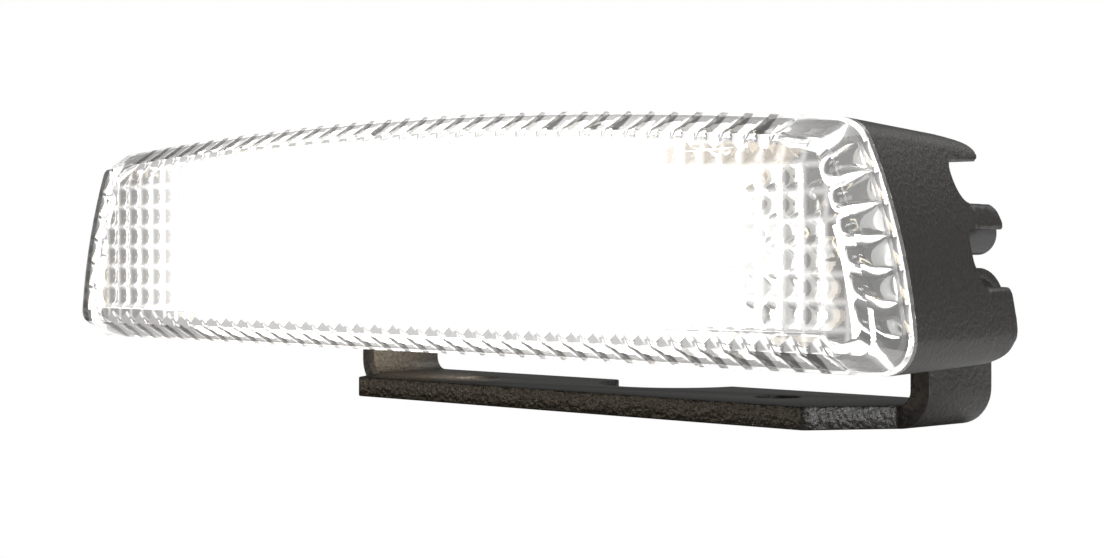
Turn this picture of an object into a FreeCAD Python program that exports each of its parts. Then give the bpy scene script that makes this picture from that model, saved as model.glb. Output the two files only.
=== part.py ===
import FreeCAD, Part
import math
import os

# Slim LED driving light on a folded U bracket.
# Millimetres. +Z is up, the lens faces -Y. The origin is midway between the two
# mounting holes, on the underside of the bracket.

V = FreeCAD.Vector

# Lamp outline, seen from the front
lamp_width = 160.0
lamp_height = 31.2
end_radius = 65.0
end_centre_drop = 2.5
top_radius = 845.0
corner_radius = 4.0
rear_corner_radius = 3.5

# Place of the lamp over the bracket
sill_z = 9.2
rim_y = -35.9

# Housing casting
wall = 3.0
end_draft = 14.8
top_draft = 3.0
floor_depth = 15.5
crown_start = 24.0
crown_drop = 0.8
fin_band = 1.2
fin_band_half = 56.0
groove_depth = 1.8
groove_inset = 0.8
groove_width = 1.4

# Fins across the back: depth behind the rim and height over the sill
low_fin_tip = 32.8
low_fin_top = 9.2
low_fin_lean = 1.4
low_fin_round = 5.0
mid_fin_tip = 33.7
mid_fin_low = 16.1
mid_fin_top = 19.2
mid_fin_lean = 1.8
top_fin_tip = 31.7
top_fin_low = 24.4
low_gap_floor = 19.8
high_gap_floor = 20.0
gap_round = 2.0
gap_sweep = 3.0
fin_edge = 0.8

# Bracket
plate = 3.0
base_depth = 24.2
base_front_half = 44.4
arm_outer_x = 56.2
arm_width = 13.7
bend_radius = 2.0
eye_radius = 6.0
arm_shoulder_z = 10.5
notch_radius = 11.3
base_corner = 1.0
mount_hole = 6.5
mount_spacing = 60.0

# Pivot
pivot_y = 9.4
pivot_z = 14.5
pivot_screw = 5.0
pivot_clearance = 0.05
pivot_head = 9.2
pivot_head_gap = 0.15
pivot_socket = 3.0
pivot_socket_depth = 1.8
lug_radius = 5.0
lug_width = 8.0
lug_root = 18.0
lug_root_top = 13.0
washer_outer = 11.0
washer_thick = 1.0
washer_gap = 0.15

# Lens
lens_band = 1.0
lens_rise = 5.3
lens_shoulder = 2.7
lens_face = 2.4
lens_rim_inset = 3.4
lens_face_wall = 1.9
lens_edge_round = 0.9
cell_pitch = 3.0
cell_groove = 0.45
cell_columns = 47
cell_rows = 8
cell_first = 5.06
flute_pitch = 3.75
flute_inset = 3.1
flute_half = 1.8
sill_flutes = 38
top_flutes = 34
barrel_pitch = 3.6
barrel_first = 4.5
barrel_count = 6
tongue_clearance = 0.15
tongue_height = 0.7
seal_fit = 0.05

# LED board and what stands on it
board_left_gap = 15.5
board_right_gap = 22.5
board_height = 19.6
board_thick = 1.6
board_centre_z = 23.0
pad_thick = 0.5
pad_margin = 0.6
led_post_gap = 9.75
led_pitch = 11.5
led_size = 3.5
led_thick = 0.8
led_dome = 1.45

# Reflector
cup_throat = 8.0
cup_mouth_x = 10.3
cup_mouth_z = 17.0
cup_wall = 0.8
flange_thick = 1.2
flange_end_gap = 26.5
flange_height = 20.4
flange_corner = 3.0
reflector_depth = 11.6
post_end_gap = 30.0
post_radius = 3.0

# Small screws
screw_radius = 1.25
screw_head_radius = 2.2
screw_head = 1.6
screw_bite = 3.4
screw_hole_gap = 0.05
board_screw_rise = 7.2

# Driver parts
coil_size = 6.0
coil_height = 3.6
driver_end_gap = 20.4
coil_z = 17.4
capacitor_radius = 2.0
capacitor_height = 5.0
capacitor_step = 2.4
capacitor_z = 24.2
chip_size = 3.0
chip_height = 1.0
chip_x = 17.25
chip_z = 31.0
diode_size = (5.0, 2.4)
diode_height = 2.2
diode_place = (28.75, 31.4)
terminal_size = (4.6, 6.0)
terminal_height = 4.5
terminal_end_gap = 25.1
terminal_z = 28.6

# Gland and vent in the rear wall, with their distance from the lamp's end and height over the sill
gland_end_gap = 19.0
gland_rise = 15.7
gland_radius = 2.7
gland_length = 18.8
gland_neck = 2.0
gland_bore = 1.2
gland_round = 0.8
gland_ring_thick = 0.8
gland_ring_radius = 2.5
gland_nut_radius = 3.0
gland_nut_thick = 2.4
gland_fit = 0.05
gland_room = 0.2
vent_end_gap = 18.0
vent_rise = 21.8
vent_head_radius = 2.2
vent_head = 1.8
vent_stem = 1.4
vent_bore = 0.6
membrane_radius = 1.0
membrane_thick = 0.3

# Worked out from the sizes above
base_rear = base_depth / 2
base_front = -base_depth / 2
arm_front = base_rear - arm_width
arm_inner_x = arm_outer_x - plate
lug_outer_x = arm_inner_x - washer_gap - washer_thick
pivot_depth = pivot_y - rim_y
pivot_rise = pivot_z - sill_z
floor_y = rim_y + floor_depth
board_back = floor_y - pad_thick
board_front = board_back - board_thick
face_y = rim_y - lens_rise
inner_face_y = face_y + lens_face
reach = lamp_width
board_left = board_left_gap - lamp_width / 2
board_right = lamp_width / 2 - board_right_gap
flange_half = lamp_width / 2 - flange_end_gap
post_x = lamp_width / 2 - post_end_gap
led_count = 1 + round(2 * (post_x - led_post_gap) // led_pitch)
driver_x = driver_end_gap - lamp_width / 2
coil_place = (driver_x, coil_z)
capacitor_places = ((driver_x - capacitor_step, capacitor_z), (driver_x + capacitor_step, capacitor_z))
chip_places = ((-chip_x, chip_z), (chip_x, chip_z), (driver_x, chip_z))
terminal_place = (lamp_width / 2 - terminal_end_gap, terminal_z)
gland_place = (lamp_width / 2 - gland_end_gap, gland_rise)
vent_place = (lamp_width / 2 - vent_end_gap, vent_rise)


def tangent_of(degrees):
    return math.tan(math.radians(degrees))


def unit(vector):
    return vector * (1.0 / vector.Length)


def meet(centre_a, radius_a, centre_b, radius_b):
    """Upper point where two circles in the XZ plane cross."""
    span = centre_b - centre_a
    along = (span.Length ** 2 + radius_a ** 2 - radius_b ** 2) / (2 * span.Length)
    across = math.sqrt(radius_a ** 2 - along ** 2)
    side = V(-span.z, 0, span.x) * (1.0 / span.Length)
    first = centre_a + unit(span) * along + side * across
    second = centre_a + unit(span) * along - side * across
    return first if first.x > second.x else second


def end_x(z, inset=0.0):
    """How far the bulged end reaches at a height, inset from the outline."""
    rise = z - (sill_z - end_centre_drop)
    return lamp_width / 2 - end_radius + math.sqrt((end_radius - inset) ** 2 - rise ** 2)


def top_z(x, inset=0.0):
    """Height of the arched top edge at a distance from the middle, inset from the outline."""
    drop = top_radius - math.sqrt(top_radius ** 2 - x ** 2)
    return sill_z + lamp_height - drop - inset


def outline(y, inset=0.0, depth=0.0, corner=corner_radius, drop=0.0):
    """Lamp outline in a plane across Y: straight sill, bulged ends, arched top, round corners."""
    round_off = max(corner - inset, 1.0)
    ends = end_radius - inset
    arch = top_radius - inset
    end_c = V(lamp_width / 2 - end_radius - depth * tangent_of(end_draft), 0, sill_z - end_centre_drop)
    arch_c = V(0, 0, sill_z + lamp_height - top_radius - depth * tangent_of(top_draft) - drop)
    low = sill_z + inset
    low_rise = low + round_off - end_c.z
    low_c = V(end_c.x + math.sqrt((ends - round_off) ** 2 - low_rise ** 2), 0, low + round_off)
    high_c = meet(arch_c, arch - round_off, end_c, ends - round_off)
    sill_p = V(low_c.x, 0, low)
    end_low = end_c + unit(low_c - end_c) * ends
    end_high = end_c + unit(high_c - end_c) * ends
    top_p = arch_c + unit(high_c - arch_c) * arch

    def bulge(centre, start, end, radius):
        return centre + unit((start - centre) + (end - centre)) * radius

    def at(point, side):
        return V(side * point.x, y, point.z)

    half = ((sill_p, bulge(low_c, sill_p, end_low, round_off), end_low),
            (end_low, bulge(end_c, end_low, end_high, ends), end_high),
            (end_high, bulge(high_c, end_high, top_p, round_off), top_p))
    edges = [Part.LineSegment(at(sill_p, -1), at(sill_p, 1)).toShape()]
    edges += [Part.Arc(*(at(p, 1) for p in arc)).toShape() for arc in half]
    crest = arch_c + V(0, 0, arch)
    edges.append(Part.Arc(at(top_p, 1), at(crest, 1), at(top_p, -1)).toShape())
    edges += [Part.Arc(*(at(p, -1) for p in reversed(arc))).toShape() for arc in reversed(half)]
    return Part.Wire(edges)


def drafted(inset, start, end):
    """Solid inside the housing's drafted outline between two depths behind the rim."""
    wires = [outline(rim_y + d, inset, d) for d in (start, end)]
    return Part.makeLoft(wires, True, True)


def prism(inset, start, end):
    """Straight solid of the lens outline between two depths behind the rim."""
    face = Part.Face(outline(rim_y + start, inset))
    return face.extrude(V(0, end - start, 0))


def rounded(points, place):
    """Closed wire through (u, v, radius) corners, put in space by the place function."""
    count = len(points)
    stops = []
    for i, (u, v, radius) in enumerate(points):
        here = V(u, v, 0)
        back = V(*points[i - 1][:2], 0) - here
        ahead = V(*points[(i + 1) % count][:2], 0) - here
        if radius <= 0:
            stops.append((here,))
            continue
        half = back.getAngle(ahead) / 2
        reach_back = radius / math.tan(half)
        centre = here + unit(unit(back) + unit(ahead)) * (radius / math.sin(half))
        middle = centre + unit(here - centre) * radius
        stops.append((here + unit(back) * reach_back, middle, here + unit(ahead) * reach_back))
    edges = []
    for i, stop in enumerate(stops):
        if len(stop) == 3:
            edges.append(Part.Arc(*(place(p) for p in stop)).toShape())
        edges.append(Part.LineSegment(place(stop[-1]), place(stops[(i + 1) % count][0])).toShape())
    return Part.Wire(edges)


def side_view(x):
    """Put (depth behind rim, height over sill) points in the plane across X."""
    return lambda p: V(x, rim_y + p.x, sill_z + p.y)


def slab(x, y, z, dx, dy, dz):
    return Part.makeBox(dx, dy, dz, V(x, y, z))


def rod(x, z, radius, front, back):
    """Round bar along Y."""
    return Part.makeCylinder(radius, back - front, V(x, front, z), V(0, 1, 0))


def cross_rod(radius, start, end):
    """Round bar along X on the pivot axis."""
    return Part.makeCylinder(radius, end - start, V(start, pivot_y, pivot_z), V(1, 0, 0))


def tangent_point(point, centre, radius):
    """Where the upper tangent from a point on the left touches a circle (u, v)."""
    away = point - centre
    turn = math.atan2(away.y, away.x) - math.acos(radius / away.Length)
    return centre + V(math.cos(turn), math.sin(turn), 0) * radius


def mirrored(shape):
    return shape.mirror(V(0, 0, 0), V(1, 0, 0))


def both_sides(shape):
    return [shape, mirrored(shape)]


def group(shapes):
    return Part.makeCompound(shapes)


def fin_profile():
    """Side section of the casting: three tongues and two round-bottomed gaps."""
    return [(-lens_rise, 0, 0),
            (low_fin_tip, 0, low_fin_round),
            (low_fin_tip - low_fin_lean, low_fin_top, fin_edge),
            (low_gap_floor + gap_round, low_fin_top, gap_round),
            (low_gap_floor, low_fin_top + gap_sweep, gap_sweep / 2),
            (low_gap_floor, mid_fin_low, gap_round),
            (mid_fin_tip, mid_fin_low, fin_edge),
            (mid_fin_tip - mid_fin_lean, mid_fin_top, fin_edge),
            (high_gap_floor, mid_fin_top, gap_sweep),
            (high_gap_floor, top_fin_low, gap_round),
            (top_fin_tip, top_fin_low, fin_edge),
            (top_fin_tip, 2 * lamp_height, 0),
            (-lens_rise, 2 * lamp_height, 0)]


def casting_envelope():
    """Drafted outside of the casting, its top crowned down towards the fins' tips."""
    tip = mid_fin_tip + 1.0
    halfway = (crown_start + tip) / 2
    steps = ((0.0, 0.0), (crown_start, 0.0), (halfway, crown_drop / 4), (tip, crown_drop))
    wires = []
    for depth, drop in steps:
        corner = corner_radius + (rear_corner_radius - corner_radius) * depth / tip
        wires.append(outline(rim_y + depth, 0.0, depth, corner, drop))
    return Part.makeLoft(wires, True, True)


def fin_bands():
    """Thicker stretch of the upper fins between the bracket's arms."""
    bands = []
    fins = ((low_gap_floor, mid_fin_tip, mid_fin_low), (high_gap_floor, top_fin_tip, top_fin_low))
    for floor, tip, low in fins:
        length = tip - floor - fin_edge
        bands.append(slab(-fin_band_half, rim_y + floor - fin_edge, sill_z + low - fin_band,
                          2 * fin_band_half, length + fin_edge, 2 * fin_band))
    return bands


def lug():
    """Pivot lug behind the casting, round about the pivot axis."""
    centre = V(pivot_depth, pivot_rise, 0)
    root_top = V(lug_root, lug_root_top, 0)
    touch = tangent_point(root_top, centre, lug_radius)
    place = side_view(lug_outer_x - lug_width)
    below = centre - V(0, lug_radius, 0)
    start = V(lug_root, pivot_rise - lug_radius, 0)
    edges = [Part.LineSegment(place(start), place(below)).toShape(),
             Part.Arc(place(below), place(centre + V(lug_radius, 0, 0)), place(touch)).toShape(),
             Part.LineSegment(place(touch), place(root_top)).toShape(),
             Part.LineSegment(place(root_top), place(start)).toShape()]
    return Part.Face(Part.Wire(edges)).extrude(V(lug_width, 0, 0))


def groove_ring(clearance, start, end):
    """Ring that follows the groove in the casting's rim."""
    outer = drafted(groove_inset + clearance, start, end)
    return outer.cut(drafted(groove_inset + groove_width - clearance, start - 1, end + 1))


def wall_rod(place, radius, start, end):
    """Round bar through the rear wall, between two depths behind the rim."""
    return rod(place[0], sill_z + place[1], radius, rim_y + start, rim_y + end)


def screw_spots():
    """Places of the board's screws and the reflector's screws."""
    columns = (-post_x, post_x)
    board = [(x, board_centre_z + side * board_screw_rise) for x in columns for side in (-1, 1)]
    posts = [(x, board_centre_z) for x in columns]
    return board, posts


def housing():
    section = Part.Face(rounded(fin_profile(), side_view(-reach)))
    ribs = section.extrude(V(2 * reach, 0, 0)).fuse(fin_bands())
    body = casting_envelope().common(ribs)
    body = body.fuse(both_sides(lug()))
    cuts = [drafted(wall, -1.0, floor_depth), groove_ring(0.0, -1.0, groove_depth)]
    pivot_hole = cross_rod(pivot_screw / 2 + pivot_clearance, lug_outer_x - 2 * lug_width, lug_outer_x + 1)
    cuts += both_sides(pivot_hole)
    cuts.append(wall_rod(gland_place, gland_neck + gland_fit, floor_depth - 1, low_gap_floor + 1))
    cuts.append(wall_rod(gland_place, gland_radius + gland_room, low_gap_floor, mid_fin_tip + gland_length))
    cuts.append(wall_rod(vent_place, vent_stem + gland_fit, floor_depth - 1, high_gap_floor + 1))
    cuts.append(wall_rod(vent_place, vent_head_radius + gland_room, high_gap_floor, top_fin_tip))
    board, posts = screw_spots()
    for x, z in board + posts:
        cuts.append(rod(x, z, screw_radius + screw_hole_gap, floor_y - 1, floor_y + screw_bite))
    return body.cut(cuts).removeSplitter()


def vee(corners, sweep):
    """Triangular bar that cuts one groove."""
    return Part.Face(Part.makePolygon(corners + corners[:1])).extrude(sweep)


def cell_grooves():
    """V grooves on the inside of the face that leave square pillow cells."""
    y = inner_face_y
    deep = cell_groove
    cutters = []
    for i in range(cell_columns + 1):
        x = (i - cell_columns / 2) * cell_pitch
        corners = [V(x - deep, y, sill_z), V(x, y - deep, sill_z), V(x + deep, y, sill_z)]
        cutters.append(vee(corners, V(0, 0, lamp_height)))
    for i in range(cell_rows):
        z = sill_z + cell_first + i * cell_pitch
        corners = [V(-reach, y, z - deep), V(-reach, y - deep, z), V(-reach, y, z + deep)]
        cutters.append(vee(corners, V(2 * reach, 0, 0)))
    face = Part.Face(outline(inner_face_y, lens_shoulder + lens_face_wall))
    room = face.extrude(V(0, -lens_face, 0))
    return cutters[0].fuse(cutters[1:]).common(room)


def shoulder_flutes():
    """V grooves along Y inside the shoulder: upright fans on sill and top, a stack at each end."""
    run = V(0, inner_face_y - rim_y, 0)
    flutes = []
    for i in range(sill_flutes):
        x = (i - (sill_flutes - 1) / 2) * flute_pitch
        flutes.append(flute(x, sill_z + flute_inset, 0, 1, run))
    for i in range(top_flutes):
        x = (i - (top_flutes - 1) / 2) * flute_pitch
        flutes.append(flute(x, top_z(x, flute_inset), 0, -1, run))
    for i in range(barrel_count):
        z = sill_z + barrel_first + i * barrel_pitch
        side = flute(end_x(z, flute_inset), z, -1, 0, run)
        flutes += both_sides(side)
    return flutes


def flute(x, z, inward_x, inward_z, run):
    """One flute with its apex at a point and its mouth towards the lamp's middle."""
    deep = lens_shoulder + lens_face_wall + cell_groove - flute_inset
    mouth = V(x + deep * inward_x, rim_y, z + deep * inward_z)
    across = V(flute_half * inward_z, 0, flute_half * inward_x)
    return vee([V(x, rim_y, z), mouth + across, mouth - across], run)


def lens():
    """Shallow clear tray with optics inside and a tongue for the casting's groove."""
    band = prism(0.0, -lens_band, 0.0)
    cap = Part.makeLoft([outline(rim_y - lens_band), outline(face_y, lens_shoulder)], True, True)
    body = band.fuse(cap).removeSplitter()
    front = [edge for edge in body.Edges if abs(edge.BoundBox.YMax - face_y) < lens_edge_round / 10]
    body = body.makeFillet(lens_edge_round, front)
    inner = [outline(rim_y, lens_rim_inset), outline(inner_face_y, lens_shoulder + lens_face_wall)]
    body = body.cut(Part.makeLoft(inner, True, True))
    body = body.cut(cell_grooves())
    body = body.cut(shoulder_flutes())
    return body.fuse(groove_ring(tongue_clearance, 0.0, tongue_height))


def lens_seal():
    return groove_ring(seal_fit, tongue_height, groove_depth)


def board_slab(left, right, height, front, back):
    return slab(left, front, board_centre_z - height / 2, right - left, back - front, height)


def led_places():
    return [((i - (led_count - 1) / 2) * led_pitch, board_centre_z) for i in range(led_count)]


def on_board(place, size, height):
    """Block that stands on the board's front."""
    return slab(place[0] - size[0] / 2, board_front - height, place[1] - size[1] / 2,
                size[0], height, size[1])


def led_board():
    body = board_slab(board_left, board_right, board_height, board_front, board_back)
    board, posts = screw_spots()
    hole = screw_radius + screw_hole_gap
    holes = [rod(x, z, hole, board_front - 1, board_back + 1) for x, z in board + posts]
    return body.cut(holes)


def thermal_pad():
    body = board_slab(board_left + pad_margin, board_right - pad_margin, board_height - 2 * pad_margin,
                      board_back, floor_y)
    board, posts = screw_spots()
    hole = screw_radius + screw_hole_gap
    holes = [rod(x, z, hole, board_back - 1, floor_y + 1) for x, z in board + posts]
    return body.cut(holes)


def led_packages():
    return group([on_board(place, (led_size, led_size), led_thick) for place in led_places()])


def led_domes():
    """Low silicone caps, one on each package."""
    base = board_front - led_thick
    return group([Part.makeCone(led_dome, led_dome / 2, led_dome / 2, V(x, base, z), V(0, -1, 0))
                  for x, z in led_places()])


def frustum(x, half_mouth, half_throat, front, back):
    """Four-sided funnel about one LED, mouth at the front."""
    mouth_x, mouth_z = half_mouth
    throat_x, throat_z = half_throat
    return Part.makeWedge(x - mouth_x, front, board_centre_z - mouth_z,
                          board_centre_z - throat_z, x - throat_x,
                          x + mouth_x, back, board_centre_z + mouth_z,
                          board_centre_z + throat_z, x + throat_x)


def reflector():
    back = board_front
    front = back - reflector_depth
    corners = [(-flange_half, -flange_height / 2), (flange_half, -flange_height / 2),
               (flange_half, flange_height / 2), (-flange_half, flange_height / 2)]
    face = Part.Face(rounded([(u, v, flange_corner) for u, v in corners],
                             lambda p: V(p.x, front, board_centre_z + p.y)))
    body = face.extrude(V(0, flange_thick, 0))
    mouth = (cup_mouth_x / 2, cup_mouth_z / 2)
    throat = (cup_throat / 2, cup_throat / 2)

    def grown(pair):
        return tuple(size + cup_wall / 2 for size in pair)

    cups = [frustum(x, grown(mouth), grown(throat), front, back) for x, z in led_places()]
    board, posts = screw_spots()
    cups += [rod(x, z, post_radius, front, back) for x, z in posts]
    body = body.fuse(cups)
    holes = [frustum(x, mouth, throat, front, back) for x, z in led_places()]
    holes += [rod(x, z, screw_radius + screw_hole_gap, front - 1, back + 1) for x, z in posts]
    return body.cut(holes).removeSplitter()


def small_screw(x, z, seat):
    """Pan head screw with its head seated at a plane across Y and its tip in the floor."""
    head = rod(x, z, screw_head_radius, seat - screw_head, seat)
    shank = rod(x, z, screw_radius, seat - screw_head / 2, floor_y + screw_bite)
    slot = slab(x - screw_head_radius, seat - screw_head, z - screw_radius / 4,
                2 * screw_head_radius, screw_head / 2, screw_radius / 2)
    return head.fuse(shank).cut(slot)


def board_screws():
    return group([small_screw(x, z, board_front) for x, z in screw_spots()[0]])


def reflector_screws():
    return group([small_screw(x, z, board_front - reflector_depth) for x, z in screw_spots()[1]])


def driver_coil():
    block = on_board(coil_place, (coil_size, coil_size), coil_height)
    upright = [e for e in block.Edges if abs(e.tangentAt(e.FirstParameter).y) > 0.5]
    return block.makeFillet(coil_size / 5, upright)


def driver_capacitors():
    return group([rod(x, z, capacitor_radius, board_front - capacitor_height, board_front)
                  for x, z in capacitor_places])


def driver_chips():
    return group([on_board(place, (chip_size, chip_size), chip_height) for place in chip_places])


def protection_diode():
    return on_board(diode_place, diode_size, diode_height)


def supply_terminal():
    body = on_board(terminal_place, terminal_size, terminal_height)
    holes = []
    for side in (-1, 1):
        z = terminal_place[1] + side * terminal_size[1] / 4
        holes.append(rod(terminal_place[0], z, gland_bore / 2,
                         board_front - terminal_height - 1, board_front - terminal_height / 2))
    return body.cut(holes)


def cable_gland():
    start = low_gap_floor + gland_ring_thick
    collar = wall_rod(gland_place, gland_radius, start, low_gap_floor + gland_length)
    rear_y = rim_y + low_gap_floor + gland_length
    rear = [edge for edge in collar.Edges if edge.BoundBox.YMin > rear_y - gland_round / 2]
    collar = collar.makeFillet(gland_round, rear)
    neck = wall_rod(gland_place, gland_neck, floor_depth - gland_nut_thick, start)
    bore = wall_rod(gland_place, gland_bore, 0, low_gap_floor + gland_length + 1)
    return collar.fuse(neck).cut(bore).removeSplitter()


def gland_ring():
    ring = wall_rod(gland_place, gland_ring_radius, low_gap_floor, low_gap_floor + gland_ring_thick)
    return ring.cut(wall_rod(gland_place, gland_neck + gland_fit, low_gap_floor - 1, low_gap_floor + 2))


def six_sided(radius, place):
    """Hexagon face of a given corner radius, put in space by the place function."""
    turns = [math.radians(60 * i) for i in range(6)]
    points = [place(radius * math.cos(turn), radius * math.sin(turn)) for turn in turns]
    return Part.Face(Part.makePolygon(points + points[:1]))


def gland_nut():
    x, rise = gland_place
    face = six_sided(gland_nut_radius, lambda u, v: V(x + u, floor_y - gland_nut_thick, sill_z + rise + v))
    body = face.extrude(V(0, gland_nut_thick, 0))
    return body.cut(wall_rod(gland_place, gland_neck + gland_fit, 0, floor_depth + 1))


def vent_plug():
    head = wall_rod(vent_place, vent_head_radius, high_gap_floor, high_gap_floor + vent_head)
    stem = wall_rod(vent_place, vent_stem, floor_depth, high_gap_floor)
    bore = wall_rod(vent_place, vent_bore, floor_depth - 1, high_gap_floor + vent_head + 1)
    seat = wall_rod(vent_place, membrane_radius + gland_fit, floor_depth - 1, floor_depth + membrane_thick)
    return head.fuse(stem).cut([bore, seat]).removeSplitter()


def vent_membrane():
    return wall_rod(vent_place, membrane_radius, floor_depth, floor_depth + membrane_thick)


def arm_profile():
    """Side view of the bracket: strip with a round eye at its rear top corner."""
    eye = V(pivot_y, pivot_z, 0)
    shoulder = V(arm_front, arm_shoulder_z, 0)
    touch = tangent_point(shoulder, eye, eye_radius)
    step = base_rear - pivot_y
    join = V(base_rear, pivot_z - math.sqrt(eye_radius ** 2 - step ** 2), 0)
    place = lambda p: V(-reach, p.x, p.y)
    foot_front = V(arm_front, -plate, 0)
    foot_rear = V(base_rear, -plate, 0)
    edges = [Part.LineSegment(place(foot_front), place(foot_rear)).toShape(),
             Part.LineSegment(place(foot_rear), place(join)).toShape(),
             Part.Arc(place(join), place(eye + V(eye_radius, 0, 0)), place(touch)).toShape(),
             Part.LineSegment(place(touch), place(shoulder)).toShape(),
             Part.LineSegment(place(shoulder), place(foot_front)).toShape()]
    return Part.Face(Part.Wire(edges))


def bracket():
    """One folded sheet: base with a chamfered front, a rear notch and two arms."""
    top = pivot_z + 2 * eye_radius
    outer = bend_radius + plate
    channel = [(-arm_outer_x, top, 0), (-arm_outer_x, 0, outer),
               (arm_outer_x, 0, outer), (arm_outer_x, top, 0),
               (arm_inner_x, top, 0), (arm_inner_x, plate, bend_radius),
               (-arm_inner_x, plate, bend_radius), (-arm_inner_x, top, 0)]
    section = Part.Face(rounded(channel, lambda p: V(p.x, arm_front, p.y)))
    folded = section.extrude(V(0, pivot_y + eye_radius - arm_front + 1, 0))
    folded = folded.common(arm_profile().extrude(V(2 * reach, 0, 0)))
    flat_half = arm_outer_x - outer
    apron = [(-base_front_half, base_front, base_corner), (base_front_half, base_front, base_corner),
             (flat_half, arm_front, 0), (flat_half, arm_front + plate, 0),
             (-flat_half, arm_front + plate, 0), (-flat_half, arm_front, 0)]
    lip = Part.Face(rounded(apron, lambda p: V(p.x, p.y, 0))).extrude(V(0, 0, plate))
    body = folded.fuse(lip).removeSplitter()
    cuts = [Part.makeCylinder(notch_radius, 3 * plate, V(0, base_rear, -plate))]
    for side in (-1, 1):
        cuts.append(Part.makeCylinder(mount_hole / 2, 3 * plate, V(side * mount_spacing / 2, 0, -plate)))
    cuts += both_sides(cross_rod(pivot_screw / 2 + pivot_clearance, arm_inner_x - 1, arm_outer_x + 1))
    cuts += both_sides(head_cone(pivot_head_gap))
    return body.cut(cuts).removeSplitter()


def head_cone(gap):
    """Cone of the pivot screw's countersunk head, grown by a gap, flush with the arm."""
    depth = (pivot_head - pivot_screw) / 2 + gap
    return Part.makeCone(pivot_screw / 2, pivot_head / 2 + gap, depth,
                         V(arm_outer_x - depth, pivot_y, pivot_z), V(1, 0, 0))


def pivot_screws():
    shank_end = arm_outer_x - (pivot_head - pivot_screw) / 4
    shank = cross_rod(pivot_screw / 2, lug_outer_x - lug_width, shank_end)
    socket = six_sided(pivot_socket / math.sqrt(3),
                       lambda u, v: V(arm_outer_x - pivot_socket_depth, pivot_y + u, pivot_z + v))
    screw = head_cone(0.0).fuse(shank).cut(socket.extrude(V(2 * pivot_socket_depth, 0, 0)))
    return group(both_sides(screw.removeSplitter()))


def friction_washers():
    ring = cross_rod(washer_outer / 2, lug_outer_x, lug_outer_x + washer_thick)
    return group(both_sides(ring.cut(cross_rod(pivot_screw / 2 + 2 * pivot_clearance,
                                               lug_outer_x - 1, arm_inner_x))))


pieces = (housing, lens, lens_seal, reflector, led_board, thermal_pad, led_packages, led_domes,
          board_screws, reflector_screws, driver_coil, driver_capacitors, driver_chips,
          protection_diode, supply_terminal, cable_gland, gland_ring, gland_nut, vent_plug,
          vent_membrane, bracket, pivot_screws, friction_washers)

os.makedirs("parts", exist_ok=True)
for piece in pieces:
    shape = piece()
    shape.exportStep("parts/" + piece.__name__ + ".step")
    print(piece.__name__, len(shape.Solids), shape.isValid(), round(shape.Volume, 1))
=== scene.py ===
import bpy, bmesh, math
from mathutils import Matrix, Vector


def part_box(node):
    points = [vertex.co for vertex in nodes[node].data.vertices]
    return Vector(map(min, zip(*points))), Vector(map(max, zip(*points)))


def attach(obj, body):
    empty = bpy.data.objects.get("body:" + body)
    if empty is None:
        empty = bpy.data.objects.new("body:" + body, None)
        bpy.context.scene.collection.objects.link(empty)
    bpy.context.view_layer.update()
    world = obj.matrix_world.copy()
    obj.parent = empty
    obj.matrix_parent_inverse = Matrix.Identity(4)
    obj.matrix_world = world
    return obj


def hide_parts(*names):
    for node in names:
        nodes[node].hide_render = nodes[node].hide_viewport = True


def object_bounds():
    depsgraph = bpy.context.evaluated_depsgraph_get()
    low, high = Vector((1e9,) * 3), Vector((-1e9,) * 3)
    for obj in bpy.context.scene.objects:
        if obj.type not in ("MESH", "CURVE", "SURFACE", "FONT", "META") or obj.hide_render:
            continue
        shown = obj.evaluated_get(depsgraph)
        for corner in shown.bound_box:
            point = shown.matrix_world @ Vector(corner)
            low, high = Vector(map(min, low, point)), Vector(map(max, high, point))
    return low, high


# Slim LED driving light, in metres, in the CAD frame: +Z up, the lens faces -Y.

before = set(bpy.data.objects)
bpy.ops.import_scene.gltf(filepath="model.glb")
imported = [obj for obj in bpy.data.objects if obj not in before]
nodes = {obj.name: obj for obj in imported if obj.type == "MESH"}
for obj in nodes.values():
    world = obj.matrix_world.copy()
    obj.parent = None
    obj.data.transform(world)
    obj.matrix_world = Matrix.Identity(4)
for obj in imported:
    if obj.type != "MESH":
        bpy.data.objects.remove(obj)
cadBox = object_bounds()
mm = 0.001
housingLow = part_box("housing")[0]
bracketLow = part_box("bracket")[0]
lensLow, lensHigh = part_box("lens")
reflectorLow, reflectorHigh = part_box("reflector")
trayMiddle = (reflectorLow.z + reflectorHigh.z) / 2
print("frame loaded", len(nodes), "nodes")


def newMaterial(name):
    material = bpy.data.materials.new(name)
    material.use_nodes = True
    tree = material.node_tree
    return material, tree, tree.nodes["Principled BSDF"]


def addNode(tree, kind, **settings):  # each setting is a property of the node or the value of a socket
    node = tree.nodes.new(kind)
    for key, value in settings.items():
        if hasattr(node, key):
            setattr(node, key, value)
        else:
            node.inputs[key.replace("_", " ")].default_value = value
    return node


def mathNode(tree, operation, first, second=None):  # sockets are linked, numbers are set
    node = addNode(tree, "ShaderNodeMath", operation=operation)
    for socket, value in zip(node.inputs, (first, second)):
        if isinstance(value, bpy.types.NodeSocket):
            tree.links.new(value, socket)
        elif value is not None:
            socket.default_value = value
    return node.outputs[0]


def mapRange(tree, source, fromRange, toRange, blend="LINEAR"):
    node = addNode(tree, "ShaderNodeMapRange", interpolation_type=blend, From_Min=fromRange[0],
                   From_Max=fromRange[1], To_Min=toRange[0], To_Max=toRange[1])
    tree.links.new(source, node.inputs["Value"])
    return node.outputs["Result"]


def objectPlace(tree):
    return addNode(tree, "ShaderNodeTexCoord").outputs["Object"]


def objectAxes(tree):
    split = addNode(tree, "ShaderNodeSeparateXYZ")
    tree.links.new(objectPlace(tree), split.inputs[0])
    return split.outputs


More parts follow.
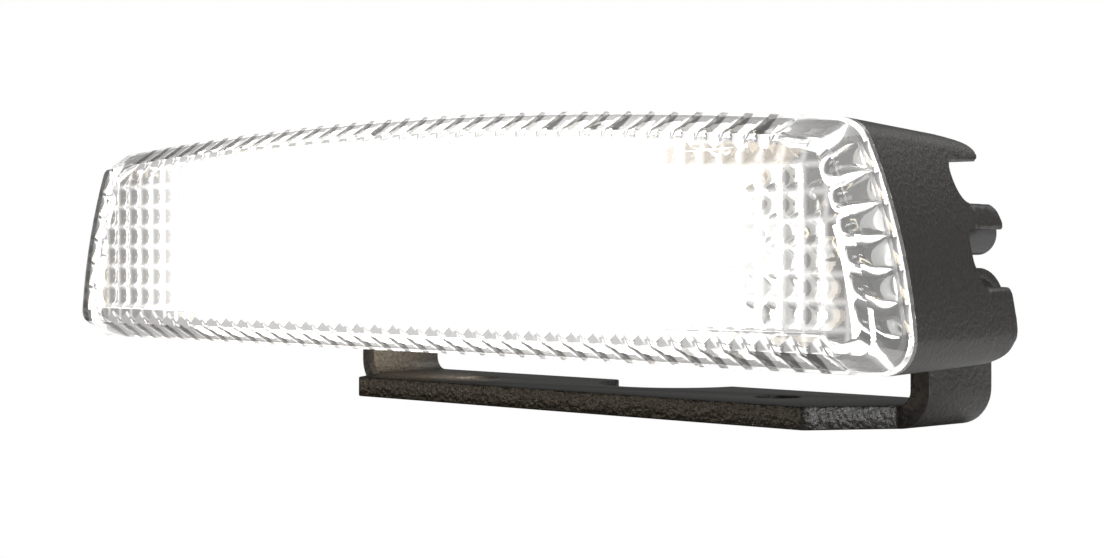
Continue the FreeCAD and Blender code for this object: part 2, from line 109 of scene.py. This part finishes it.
def objectNoise(tree, grain, detail=3.0):
    noise = addNode(tree, "ShaderNodeTexNoise", Scale=1.0 / grain, Detail=detail)
    tree.links.new(objectPlace(tree), noise.inputs["Vector"])
    return noise.outputs["Fac"]


def colourRamp(tree, source, low, high, start=0.3, end=0.7):
    ramp = addNode(tree, "ShaderNodeValToRGB")
    for stop, place, colour in zip(ramp.color_ramp.elements, (start, end), (low, high)):
        stop.position = place
        stop.color = (*colour, 1)
    tree.links.new(source, ramp.inputs["Fac"])
    return ramp.outputs["Color"]


def addBump(tree, shader, height, strength, depth):
    bump = addNode(tree, "ShaderNodeBump", Strength=strength, Distance=depth)
    tree.links.new(height, bump.inputs["Height"])
    tree.links.new(bump.outputs["Normal"], shader.inputs["Normal"])


castLook = {"grain": 0.3 * mm, "detail": 4.0, "pebble": 0.6 * mm, "bump": 0.8, "depth": 0.09 * mm,
            "dark": (0.010, 0.009, 0.008), "light": (0.026, 0.023, 0.020),
            "roughness": 0.40, "specular": 0.36}
sheetLook = {"grain": 0.45 * mm, "detail": 4.0, "pebble": 0.9 * mm, "bump": 1.0, "depth": 0.16 * mm,
             "dark": (0.012, 0.011, 0.010), "light": (0.030, 0.027, 0.023),
             "roughness": 0.36, "specular": 0.5}


def powderCoat(name, look):
    material, tree, shader = newMaterial(name)
    fine = objectNoise(tree, look["grain"], look["detail"])
    pebble = addNode(tree, "ShaderNodeTexVoronoi", Scale=1.0 / look["pebble"], feature="SMOOTH_F1")
    tree.links.new(objectPlace(tree), pebble.inputs["Vector"])
    height = mathNode(tree, "ADD", fine, pebble.outputs["Distance"])
    addBump(tree, shader, height, look["bump"], look["depth"])
    tree.links.new(colourRamp(tree, fine, look["dark"], look["light"]), shader.inputs["Base Color"])
    shader.inputs["Roughness"].default_value = look["roughness"]
    shader.inputs["Specular IOR Level"].default_value = look["specular"]
    return material


plainLook = {"grain": 0.4 * mm, "shade": 0.85, "bump": 0.1, "depth": 0.02 * mm, "metallic": 0.0}


def smallFinish(name, changes):  # changes to the plain look
    look = {**plainLook, **changes}
    material, tree, shader = newMaterial(name)
    grain = objectNoise(tree, look["grain"])
    shaded = [look["shade"] * part for part in look["colour"]]
    tree.links.new(colourRamp(tree, grain, shaded, look["colour"]), shader.inputs["Base Color"])
    addBump(tree, shader, grain, look["bump"], look["depth"])
    shader.inputs["Metallic"].default_value = look["metallic"]
    shader.inputs["Roughness"].default_value = look["roughness"]
    return material


def fadeAway(tree, source, middle, reach, fadeTo, high, low):  # high near the middle, low past fadeTo
    away = mathNode(tree, "ABSOLUTE", mathNode(tree, "SUBTRACT", source, middle))
    return mapRange(tree, away, (reach, fadeTo), (high, low), "SMOOTHSTEP")


lampGlow = {"middleX": 0.0, "middleZ": trayMiddle, "half": 30 * mm, "halfFade": 40 * mm,
            "colour": (1.0, 0.985, 0.965)}


def addGlow(material, changes):  # emission, full in the lamp's middle, fading towards its ends, sill and top: the LED domes' own light, painted glow on the other parts
    glow = {**lampGlow, **changes}
    tree = material.node_tree
    shader = tree.nodes["Principled BSDF"]
    axes = objectAxes(tree)
    along = fadeAway(tree, axes["X"], glow["middleX"], glow["reach"], glow["fadeTo"],
                     glow["strength"], glow["ends"])
    up = fadeAway(tree, axes["Z"], glow["middleZ"], glow["half"], glow["halfFade"], 1.0, 0.0)
    tree.links.new(mathNode(tree, "MULTIPLY", along, up), shader.inputs["Emission Strength"])
    shader.inputs["Emission Color"].default_value = (*glow["colour"], 1)


castCoat = powderCoat("castCoat", castLook)
sheetCoat = powderCoat("sheetCoat", sheetLook)
trayLook = {"colour": (0.86, 0.87, 0.88), "metallic": 0.6, "roughness": 0.2}
# painted glow: the reflector tray is no lamp, its emission stands in for the LED light it reflects
trayPaintedGlow = {"middleX": -5 * mm, "strength": 5.0, "ends": 0.6, "reach": 44 * mm, "fadeTo": 54 * mm,
            "half": 20 * mm, "halfFade": 30 * mm, "colour": (1.0, 0.985, 0.96)}
trayFinish = smallFinish("trayFinish", trayLook)
addGlow(trayFinish, trayPaintedGlow)
domeLook = {"colour": (0.98, 0.93, 0.62), "roughness": 0.15}
domeGlow = {"strength": 30.0, "ends": 30.0, "reach": 60 * mm, "fadeTo": 70 * mm,
            "half": 20 * mm, "halfFade": 30 * mm, "colour": (1.0, 0.98, 0.94)}
domeFinish = smallFinish("domeFinish", domeLook)
addGlow(domeFinish, domeGlow)
smallLooks = {
    "lens_seal": {"colour": (0.03, 0.03, 0.03), "roughness": 0.8},
    "led_board": {"colour": (0.85, 0.86, 0.85), "roughness": 0.4},
    "thermal_pad": {"colour": (0.35, 0.40, 0.48), "roughness": 0.8},
    "led_packages": {"colour": (0.92, 0.91, 0.86), "roughness": 0.4},
    "board_screws": {"colour": (0.60, 0.60, 0.58), "metallic": 1.0, "roughness": 0.3},
    "reflector_screws": {"colour": (0.60, 0.60, 0.58), "metallic": 1.0, "roughness": 0.3},
    "driver_coil": {"colour": (0.08, 0.08, 0.085), "roughness": 0.5},
    "driver_capacitors": {"colour": (0.70, 0.71, 0.72), "metallic": 1.0, "roughness": 0.25},
    "driver_chips": {"colour": (0.03, 0.03, 0.03), "roughness": 0.6},
    "protection_diode": {"colour": (0.03, 0.03, 0.03), "roughness": 0.6},
    "supply_terminal": {"colour": (0.80, 0.79, 0.74), "roughness": 0.5},
    "cable_gland": {"colour": (0.05, 0.05, 0.052), "roughness": 0.38},
    "gland_ring": {"colour": (0.03, 0.03, 0.03), "roughness": 0.8},
    "gland_nut": {"colour": (0.70, 0.62, 0.45), "metallic": 1.0, "roughness": 0.3},
    "vent_plug": {"colour": (0.04, 0.04, 0.042), "roughness": 0.5},
    "vent_membrane": {"colour": (0.90, 0.90, 0.90), "roughness": 0.9, "bump": 0.5},
    "pivot_screws": {"colour": (0.035, 0.035, 0.035), "metallic": 0.8, "roughness": 0.35},
    "friction_washers": {"colour": (0.05, 0.05, 0.05), "roughness": 0.5}}
nodeFinishes = {"housing": castCoat, "bracket": sheetCoat, "reflector": trayFinish, "led_domes": domeFinish}
for nodeName, look in smallLooks.items():
    nodeFinishes[nodeName] = smallFinish(nodeName + "Finish", look)
for nodeName, material in nodeFinishes.items():
    nodes[nodeName].data.materials.clear()
    nodes[nodeName].data.materials.append(material)
print("materials on", len(nodeFinishes), "nodes")


def mergedCopy(nodeName):
    bm = bmesh.new()
    bm.from_mesh(nodes[nodeName].data)
    bmesh.ops.remove_doubles(bm, verts=bm.verts[:], dist=0.001 * mm)
    return bm


def bendsPast(edge, degrees):
    return len(edge.link_faces) == 2 and edge.calc_face_angle() > math.radians(degrees)


def finishMesh(bm, name, material, sharpAngle):
    bmesh.ops.recalc_face_normals(bm, faces=bm.faces[:])
    for face in bm.faces:
        face.smooth = True
    for edge in bm.edges:
        if bendsPast(edge, sharpAngle):
            edge.smooth = False
    mesh = bpy.data.meshes.new(name)
    bm.to_mesh(mesh)
    bm.free()
    mesh.materials.append(material)
    piece = bpy.data.objects.new(name, mesh)
    bpy.context.scene.collection.objects.link(piece)
    return piece


finEnds = {"pastX": 60 * mm, "pastY": housingLow.y + 23 * mm, "clear": 0.6 * mm, "edge": 0.55 * mm,
           "longest": 1.5, "rounds": 9, "passes": 14, "pull": 0.5, "sharpAngle": 35}
bossBoxes = [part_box("cable_gland"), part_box("vent_plug")]  # left as they are


def onFinEnd(vert):
    x, y, z = vert.co
    if abs(x) < finEnds["pastX"] or y < finEnds["pastY"]:
        return False
    room = finEnds["clear"]
    return not any(low.x - room < x < high.x + room and low.z - room < z < high.z + room
                   for low, high in bossBoxes)


def softenFinEnds(bm):  # cut into small triangles, then relaxed so that their edges come out round
    for turn in range(finEnds["rounds"]):
        longEdges = [e for e in bm.edges if e.calc_length() > finEnds["edge"] and any(map(onFinEnd, e.verts))]
        if not longEdges:
            break
        bmesh.ops.subdivide_edges(bm, edges=longEdges, cuts=1, use_grid_fill=False)
        bmesh.ops.triangulate(bm, faces=[f for f in bm.faces if len(f.verts) > 3])
    longest = finEnds["longest"] * finEnds["edge"]
    moving = [v for v in bm.verts if onFinEnd(v) and all(e.calc_length() < longest for e in v.link_edges)]
    for turn in range(finEnds["passes"]):
        bmesh.ops.smooth_vert(bm, verts=moving, factor=finEnds["pull"],
                              use_axis_x=True, use_axis_y=True, use_axis_z=True)


castingBm = mergedCopy("housing")
softenFinEnds(castingBm)
castingPiece = finishMesh(castingBm, "finned_casting", castCoat, finEnds["sharpAngle"])
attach(castingPiece, "lamp")
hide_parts("housing")
print("casting", len(castingPiece.data.polygons), "faces")


sheetEdge = {"ease": 0.2 * mm, "flat": 1.0, "bend": 30, "segments": 2, "sharpAngle": 35}


def easeSheetEdges(bm):
    flat = math.radians(sheetEdge["flat"])
    bmesh.ops.dissolve_limit(bm, angle_limit=flat, verts=bm.verts[:], edges=bm.edges[:])
    sharp = [e for e in bm.edges if bendsPast(e, sheetEdge["bend"])]
    bmesh.ops.bevel(bm, geom=sharp, offset=sheetEdge["ease"], offset_type="OFFSET", profile=0.5,
                    segments=sheetEdge["segments"], affect="EDGES", material=-1, clamp_overlap=False)


bracketBm = mergedCopy("bracket")
easeSheetEdges(bracketBm)
bracketPiece = finishMesh(bracketBm, "folded_bracket", sheetCoat, sheetEdge["sharpAngle"])
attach(bracketPiece, "bracket")
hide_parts("bracket")
print("bracket", len(bracketPiece.data.polygons), "faces")


# The lens has the CAD lens's outline of arcs, with flutes along its inner wall, barrels at the ends
# and a grid of pillow cells on its inner face.
lens = {"width": 160 * mm, "height": 31.2 * mm, "endRadius": 65 * mm, "endDrop": 2.5 * mm,
        "topRadius": 845 * mm, "corner": 4 * mm, "leastCorner": 1 * mm, "cornerSteps": 8,
        "rimY": lensHigh.y - 0.7 * mm, "sillZ": lensLow.z, "rimWall": 1.7 * mm, "band": 1.0 * mm,
        "rise": 5.3 * mm, "shoulder": 2.7 * mm, "edge": 0.9 * mm, "edgeTurns": (25, 55), "edgeReach": 0.9,
        "edgeLean": 0.35, "endSteepness": 0.25, "faceWall": 1.95 * mm, "innerInset": 4.3 * mm, "wallSteps": 7,
        "flutePitch": 3.75 * mm, "fluteSteps": 8, "sillFlutes": 38, "topFlutes": 34, "fluteDeep": 1.3 * mm,
        "fluteTaper": 0.7, "barrels": 6, "barrelSteps": 10, "barrelDeep": 1.5 * mm, "barrelStretch": 1.9,
        "barrelStart": 0.85, "cell": 3.0 * mm, "cellSteps": 8, "columns": 47, "rows": 8,
        "firstRow": 2.06 * mm, "pillow": 0.5 * mm, "cellInset": 4.55 * mm, "cellEndInset": 6.3 * mm,
        "sharpAngle": 40}
lens["faceY"] = lens["rimY"] - lens["rise"]
lens["innerY"] = lens["faceY"] + lens["faceWall"]
endCentre = Vector((lens["width"] / 2 - lens["endRadius"], lens["sillZ"] - lens["endDrop"]))  # X and Z
archCentre = Vector((0, lens["sillZ"] + lens["height"] - lens["topRadius"]))
lensParts = {"face": 0, "shoulder": 1, "cells": 2, "walls": 3}  # order of the lens's materials


def circleMeet(a, radiusA, b, radiusB):  # the right-hand crossing of two circles
    span = b - a
    along = (span.length ** 2 + radiusA ** 2 - radiusB ** 2) / (2 * span.length)
    across = math.sqrt(radiusA ** 2 - along ** 2)
    turn = Vector((-span.y, span.x)) / span.length
    spots = [a + span.normalized() * along + side * turn * across for side in (-1, 1)]
    return max(spots, key=lambda spot: spot.x)


def arcPoint(centre, radius, start, end, share):  # a point on the arc between two directions
    first = math.atan2(start.y, start.x)
    last = math.atan2(end.y, end.x)
    turn = first + (last - first) * share
    return centre + Vector((math.cos(turn), math.sin(turn))) * radius


def fluteWave(step):  # flat-sided: 1 at a flute's borders, 0 on its ridge
    share = (step % lens["fluteSteps"]) / lens["fluteSteps"]
    return abs(2 * share - 1)


def barrelWave(step):  # round: 0 at a barrel's borders, 1 in its middle
    share = (step % lens["barrelSteps"]) / lens["barrelSteps"]
    return math.sqrt(max(0.0, 1 - (2 * share - 1) ** 2))


def rightHalf(inset, flute, barrel):  # from the sill's middle round the right end to the top's middle
    corner = max(lens["corner"] - inset, lens["leastCorner"])
    endRadius = lens["endRadius"] - inset
    archRadius = lens["topRadius"] - inset
    low = lens["sillZ"] + inset + corner
    lowX = endCentre.x + math.sqrt((endRadius - corner) ** 2 - (low - endCentre.y) ** 2)
    lowCentre = Vector((lowX, low))
    highCentre = circleMeet(archCentre, archRadius - corner, endCentre, endRadius - corner)
    lowTurn = lowCentre - endCentre
    highTurn = highCentre - endCentre
    step = lens["flutePitch"] / lens["fluteSteps"]
    points = []
    for i in range(lens["sillFlutes"] * lens["fluteSteps"] // 2 + 1):
        points.append(Vector((i * step, lens["sillZ"] + inset - flute * fluteWave(i))))
    for i in range(1, lens["cornerSteps"] + 1):
        points.append(arcPoint(lowCentre, corner, Vector((0, -1)), lowTurn, i / lens["cornerSteps"]))
    endCount = lens["barrels"] * lens["barrelSteps"]
    for i in range(1, endCount):
        radius = endRadius - barrel * barrelWave(i)
        points.append(arcPoint(endCentre, radius, lowTurn, highTurn, i / endCount))
    archTurn = highCentre - archCentre
    for i in range(lens["cornerSteps"] + 1):
        points.append(arcPoint(highCentre, corner, highTurn, archTurn, i / lens["cornerSteps"]))
    for i in range(lens["topFlutes"] * lens["fluteSteps"] // 2, -1, -1):
        z = archCentre.y + math.sqrt(archRadius ** 2 - (i * step) ** 2) + flute * fluteWave(i)
        points.append(Vector((i * step, z)))
    return points


def wholeOutline(inset, flute=0.0, barrel=0.0):
    right = rightHalf(inset, flute, barrel)
    return right + [Vector((-p.x, p.y)) for p in reversed(right[1:-1])]


def extrudeRing(bm, ring):  # the new ring keeps the order of the old one
    order = {v: i for i, v in enumerate(ring)}
    loop = dict.fromkeys(e for v in ring for e in v.link_edges if e.other_vert(v) in order)
    made = bmesh.ops.extrude_edge_only(bm, edges=list(loop))
    newRing = [None] * len(ring)
    for vert in made["geom"]:
        if isinstance(vert, bmesh.types.BMVert):
            for edge in vert.link_edges:
                other = edge.other_vert(vert)
                if other in order:
                    newRing[order[other]] = vert
    return newRing


def addRing(bm, ring, y, points):
    if ring is None:
        ring = bmesh.ops.create_circle(bm, segments=len(points), radius=1.0)["verts"]
    else:
        ring = extrudeRing(bm, ring)
    for v, p in zip(ring, points):
        v.co = (p.x, y, p.y)
    return ring


def addInnerWall(bm):  # from the inner face out to the rim
    ring = None
    for i in range(lens["wallSteps"] + 1):
        share = i / lens["wallSteps"]
        y = lens["innerY"] + (lens["rimY"] - lens["innerY"]) * share
        inset = lens["innerInset"] + (lens["rimWall"] - lens["innerInset"]) * share
        flute = lens["fluteDeep"] * (1 - share) ** lens["fluteTaper"]
        swell = lens["barrelStretch"] * share - lens["barrelStart"]
        barrel = lens["barrelDeep"] * math.sqrt(max(0.0, 1 - swell ** 2))
        ring = addRing(bm, ring, y, wholeOutline(inset, flute, barrel))
    for face in bm.faces:
        face.material_index = lensParts["walls"]
    return ring


def shoulderPart(face):  # clear at the upright ends, with painted shade stripes where there are flutes behind
    face.normal_update()
    spot = face.calc_center_median()
    count = lens["topFlutes"] if spot.z > lens["sillZ"] + lens["height"] / 2 else lens["sillFlutes"]
    if abs(face.normal.z) < lens["endSteepness"]:
        return lensParts["face"]
    return lensParts["shoulder"] if abs(spot.x) < count * lens["flutePitch"] / 2 else lensParts["walls"]


def addShoulder(bm, ring):  # the rim, its band and the sloping shoulder with a rounded edge
    bandY = lens["rimY"] - lens["band"]
    ring = addRing(bm, ring, lens["rimY"], wholeOutline(0.0))
    ring = addRing(bm, ring, bandY, wholeOutline(0.0))
    below = set(bm.faces)
    slope = (lens["shoulder"] - lens["edge"]) / lens["shoulder"]
    rise = lens["rise"] - lens["band"]
    ring = addRing(bm, ring, bandY - rise * slope, wholeOutline(lens["shoulder"] * slope))
    for degrees in lens["edgeTurns"]:
        lean = math.sin(math.radians(degrees))
        inward = 1 - math.cos(math.radians(degrees)) + lens["edgeLean"] * lean
        inset = lens["shoulder"] * slope + lens["edge"] * lens["edgeReach"] * inward
        ring = addRing(bm, ring, lens["faceY"] + rise * (1 - slope) * (1 - lean), wholeOutline(inset))
    for face in set(bm.faces) - below:
        face.material_index = shoulderPart(face)
    return ring


def closeFront(bm, ring):
    below = set(bm.faces)
    ring = set(addRing(bm, ring, lens["faceY"], wholeOutline(lens["shoulder"] + lens["edge"])))
    bmesh.ops.contextual_create(bm, geom=[e for e in bm.edges if e.is_boundary and e.verts[0] in ring])
    for face in set(bm.faces) - below:
        face.material_index = lensParts["face"]


def insideCells(x, z):
    reach = math.sqrt((lens["endRadius"] - lens["cellEndInset"]) ** 2 - (z - endCentre.y) ** 2)
    top = archCentre.y + math.sqrt((lens["topRadius"] - lens["cellInset"]) ** 2 - x ** 2)
    return abs(x) < endCentre.x + reach and lens["sillZ"] + lens["cellInset"] < z < top


def addCells(bm):  # a grid bulged into pillows, trimmed to the outline and joined to the inner wall
    below = set(bm.faces)
    cell = lens["cell"]
    made = bmesh.ops.create_grid(bm, x_segments=lens["columns"] * lens["cellSteps"],
                                 y_segments=lens["rows"] * lens["cellSteps"], size=0.5)
    for v in made["verts"]:
        x = v.co.x * lens["columns"] * cell
        rise = (v.co.y + 0.5) * lens["rows"] * cell
        across = 2 * ((x / cell + 0.5) % 1.0) - 1
        up = 2 * ((rise / cell) % 1.0) - 1
        bulge = lens["pillow"] * (1 - across ** 2) * (1 - up ** 2)
        v.co = (x, lens["innerY"] - lens["pillow"] + bulge, lens["sillZ"] + lens["firstRow"] + rise)
    outside = [v for v in made["verts"] if not insideCells(v.co.x, v.co.z)]
    bmesh.ops.delete(bm, geom=outside, context="VERTS")
    bmesh.ops.triangle_fill(bm, use_beauty=True, use_dissolve=False, normal=(0, 1, 0),
                            edges=[e for e in bm.edges if e.is_boundary])
    for face in set(bm.faces) - below:
        face.material_index = lensParts["cells"]


clearPlastic = {"colour": (0.97, 0.98, 0.98), "ior": 1.49, "grain": 1.5 * mm}
# painted glow: the strength, ends, reach, fadeTo, middle and half entries give the clear lens an emission
# that stands in for the LED light scattered in it
lensFace = {"haze": 0.05, "middleX": -4 * mm, "strength": 0.9, "ends": 0.07, "reach": 30 * mm,
            "fadeTo": 61 * mm, "middleZ": lens["sillZ"] + lens["height"] / 2,
            "half": 9.0 * mm, "halfFade": 12.5 * mm}
lensWall = {"haze": 0.05, "strength": 0.26, "ends": 0.12, "reach": 30 * mm, "fadeTo": 68 * mm}
# painted highlight: line is the emission colour along the cell borders, hollow the dimmer painted light in
# their middles
cells = {"haze": 0.04, "middleX": -4 * mm, "strength": 3.2, "ends": 0.55, "reach": 26 * mm, "fadeTo": 62 * mm,
         "line": (1.0, 0.985, 0.96), "hollow": (0.36, 0.345, 0.33), "lineWide": 0.07, "soft": 0.16}
# painted shade under each flute in the colour, and painted highlight from dim to bright in the emission
flutes = {"haze": 0.06, "strength": 0.3, "ends": 0.2, "reach": 25 * mm, "fadeTo": 74 * mm,
          "share": 0.60, "tip": 0.25, "soft": 0.08, "paintedFluteShade": (0.105, 0.10, 0.096),
          "dim": (0.2, 0.2, 0.2), "bright": (1.0, 0.985, 0.965)}


def clearFinish(name, look):
    material, tree, shader = newMaterial(name)
    shader.inputs["Base Color"].default_value = (*clearPlastic["colour"], 1)
    shader.inputs["Transmission Weight"].default_value = 1.0
    shader.inputs["IOR"].default_value = clearPlastic["ior"]
    rough = mapRange(tree, objectNoise(tree, clearPlastic["grain"]), (0.0, 1.0), (0.0, look["haze"]))
    tree.links.new(rough, shader.inputs["Roughness"])
    # painted glow on the clear plastic
    addGlow(material, look)
    return material


def axisPhase(tree, source, start, pitch):  # how far along one pitch a place is, 0 to 1
    count = mathNode(tree, "DIVIDE", mathNode(tree, "SUBTRACT", source, start), pitch)
    return mathNode(tree, "FRACT", count)


def cellFinish():  # painted highlight: each cell's emission is brightest along its borders, with dimmer painted light in its hollow
    material = clearFinish("cellFinish", cells)
    tree = material.node_tree
    axes = objectAxes(tree)
    offMiddle = []
    for axis, start in (("X", 0.5 * lens["cell"]), ("Z", lens["sillZ"] + lens["firstRow"])):
        phase = axisPhase(tree, axes[axis], start, lens["cell"])
        offMiddle.append(mathNode(tree, "ABSOLUTE", mathNode(tree, "SUBTRACT", phase, 0.5)))
    border = 0.5 - cells["lineWide"] / 2
    paintedCellLight = colourRamp(tree, mathNode(tree, "MAXIMUM", *offMiddle), cells["hollow"], cells["line"],
                         border - cells["soft"], border)
    tree.links.new(paintedCellLight, tree.nodes["Principled BSDF"].inputs["Emission Color"])
    return material


def flutedFinish():  # painted shade: a darker wedge under each flute, wide at the face and pointed at the rim, in the colour and the emission, with painted highlight between the wedges
    material = clearFinish("shoulderFinish", flutes)
    tree = material.node_tree
    shader = tree.nodes["Principled BSDF"]
    axes = objectAxes(tree)
    phase = axisPhase(tree, axes["X"], 0.0, lens["flutePitch"])
    wide = mapRange(tree, axes["Y"], (lens["faceY"], lens["rimY"]), (flutes["share"], flutes["tip"]))
    past = mathNode(tree, "SUBTRACT", phase, wide)
    paintedFluteShade = colourRamp(tree, past, flutes["paintedFluteShade"], clearPlastic["colour"], 0.0, flutes["soft"])
    tree.links.new(paintedFluteShade, shader.inputs["Base Color"])
    # painted highlight: the emission is bright between the flutes and dim under them
    shine = colourRamp(tree, past, flutes["dim"], flutes["bright"], 0.0, flutes["soft"])
    tree.links.new(shine, shader.inputs["Emission Color"])
    return material


lensBm = bmesh.new()
closeFront(lensBm, addShoulder(lensBm, addInnerWall(lensBm)))
addCells(lensBm)
lensPiece = finishMesh(lensBm, "lens_optic", clearFinish("lensFinish", lensFace), lens["sharpAngle"])
for material in (flutedFinish(), cellFinish(), clearFinish("wallFinish", lensWall)):
    lensPiece.data.materials.append(material)
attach(lensPiece, "lamp")
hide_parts("lens")
print("lens", len(lensPiece.data.polygons), "faces")


rib = {"inset": 5.5 * mm, "radius": 0.45 * mm, "segments": 10, "from": 6.4, "to": 18.5, "steps": 16,
       "behind": 0.6 * mm, "colour": (0.95, 0.96, 0.96), "roughness": 0.2, "sharpAngle": 40}
# painted glow: the rib is no lamp, its emission stands in for the bright light seen along it
ribPaintedGlow = {"strength": 1.6, "ends": 1.6, "reach": 60 * mm, "fadeTo": 90 * mm,
           "half": 20 * mm, "halfFade": 30 * mm, "colour": (1.0, 0.99, 0.975)}


def buildRib():  # a round bar behind the lens, bent along its right end
    bm = bmesh.new()
    start = math.radians(rib["from"])
    for v in bmesh.ops.create_circle(bm, segments=rib["segments"], radius=rib["radius"])["verts"]:
        out = lens["endRadius"] - rib["inset"] + v.co.x
        v.co = (endCentre.x + out * math.cos(start), lens["innerY"] + rib["behind"] + v.co.y,
                endCentre.y + out * math.sin(start))
    bmesh.ops.spin(bm, geom=bm.verts[:] + bm.edges[:], cent=(endCentre.x, 0, endCentre.y), axis=(0, -1, 0),
                   angle=math.radians(rib["to"]) - start, steps=rib["steps"])
    bmesh.ops.holes_fill(bm, edges=[e for e in bm.edges if e.is_boundary], sides=0)
    return bm


ribFinish = smallFinish("ribFinish", rib)
addGlow(ribFinish, ribPaintedGlow)
ribPiece = finishMesh(buildRib(), "lens_end_rib", ribFinish, rib["sharpAngle"])
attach(ribPiece, "lamp")
print("end rib", len(ribPiece.data.polygons), "faces")


studio = {"floorSize": 6.0, "floorBelow": 0.2 * mm, "floorColour": (0.8, 0.8, 0.8), "ambient": 0.16}
white = (1, 1, 1, 1)


def whiteWhenSeen(tree, plain, seen, output):  # the camera sees white, straight or through the clear lens
    path = addNode(tree, "ShaderNodeLightPath")
    mix = addNode(tree, "ShaderNodeMixShader")
    either = mathNode(tree, "MAXIMUM", path.outputs["Is Camera Ray"], path.outputs["Is Transmission Ray"])
    tree.links.new(either, mix.inputs[0])
    tree.links.new(plain.outputs[0], mix.inputs[1])
    tree.links.new(seen.outputs[0], mix.inputs[2])
    tree.links.new(mix.outputs[0], output.inputs["Surface"])


floorWhite, floorTree, floorShader = newMaterial("floorWhite")
floorTree.nodes.remove(floorShader)
whiteWhenSeen(floorTree, addNode(floorTree, "ShaderNodeBsdfDiffuse", Color=(*studio["floorColour"], 1)),
              addNode(floorTree, "ShaderNodeEmission", Color=white), floorTree.nodes["Material Output"])
floorMesh = bpy.data.meshes.new("floor")
floorBm = bmesh.new()
bmesh.ops.create_grid(floorBm, x_segments=1, y_segments=1, size=studio["floorSize"])
floorBm.to_mesh(floorMesh)
floorBm.free()
floorMesh.materials.append(floorWhite)
floorPiece = bpy.data.objects.new("floor", floorMesh)
bpy.context.scene.collection.objects.link(floorPiece)
floorPiece.location.z = bracketLow.z - studio["floorBelow"]

world = bpy.data.worlds.new("studio")
bpy.context.scene.world = world
world.use_nodes = True
worldTree = world.node_tree
worldTree.nodes.clear()
whiteWhenSeen(worldTree, addNode(worldTree, "ShaderNodeBackground", Color=white, Strength=studio["ambient"]),
              addNode(worldTree, "ShaderNodeBackground", Color=white, Strength=1.0),
              addNode(worldTree, "ShaderNodeOutputWorld"))

lights = {"key": {"place": (0.45, -0.25, 0.55), "size": 0.4, "watts": 2.0, "colour": (1, 1, 1)},
          "side": {"place": (0.6, -0.14, 0.04), "size": 0.2, "watts": 3.2, "colour": (1, 1, 1)},
          "top": {"place": (0.2, 0.25, 0.7), "size": 0.5, "watts": 2.0, "colour": (1, 1, 1)},
          "back": {"place": (0.1, 0.6, 0.5), "size": 0.4, "watts": 0.8, "colour": (1, 1, 1)},
          "warm": {"place": (-0.4, -0.45, 0.03), "size": 0.3, "watts": 1.5, "colour": (1.0, 0.82, 0.6)},
          "spill": {"place": (-0.018, -0.004, 0.0078), "size": 0.006, "watts": 0.012,
                    "colour": (1.0, 0.92, 0.80), "aim": (-0.054, -0.002, 0.0085), "spread": 60}}
middle = (cadBox[0] + cadBox[1]) / 2
for name, light in lights.items():
    source = bpy.data.lights.new(name, "AREA")
    source.size = light["size"]
    source.energy = light["watts"]
    source.color = light["colour"]
    lightPiece = bpy.data.objects.new(name, source)
    bpy.context.scene.collection.objects.link(lightPiece)
    lightPiece.location = light["place"]
    aim = Vector(light.get("aim", middle))
    lightPiece.rotation_euler = (aim - lightPiece.location).to_track_quat("-Z", "Y").to_euler()
    lightPiece.visible_camera = False
    if "spread" in light:  # the lamp's own light on the bracket, not mirrored anywhere
        source.spread = math.radians(light["spread"])
        lightPiece.visible_glossy = False
        lightPiece.visible_transmission = False

# The photograph's camera is level, with the frame shifted down a little.
view = {"azimuth": 45.79, "focalPixels": 2178, "framePixels": 1111, "sensor": 36.0, "clipStart": 0.01,
        "place": (219.7 * mm, -226.2 * mm, 23.3 * mm), "horizonShift": -0.030, "bounces": 10}
camera = bpy.data.cameras.new("camera")
camera.sensor_width = view["sensor"]
camera.lens = view["sensor"] * view["focalPixels"] / view["framePixels"]
camera.shift_y = view["horizonShift"]
camera.clip_start = view["clipStart"]
cameraPiece = bpy.data.objects.new("camera", camera)
bpy.context.scene.collection.objects.link(cameraPiece)
cameraPiece.location = view["place"]
cameraPiece.rotation_euler = (math.radians(90), 0, math.radians(view["azimuth"]))
bpy.context.scene.camera = cameraPiece
bpy.context.scene.view_settings.view_transform = "Standard"
bpy.context.scene.cycles.max_bounces = view["bounces"]
bpy.context.scene.cycles.transmission_bounces = view["bounces"]
bpy.context.scene.cycles.caustics_reflective = False
bpy.context.scene.cycles.caustics_refractive = False
print("stage and camera ready")
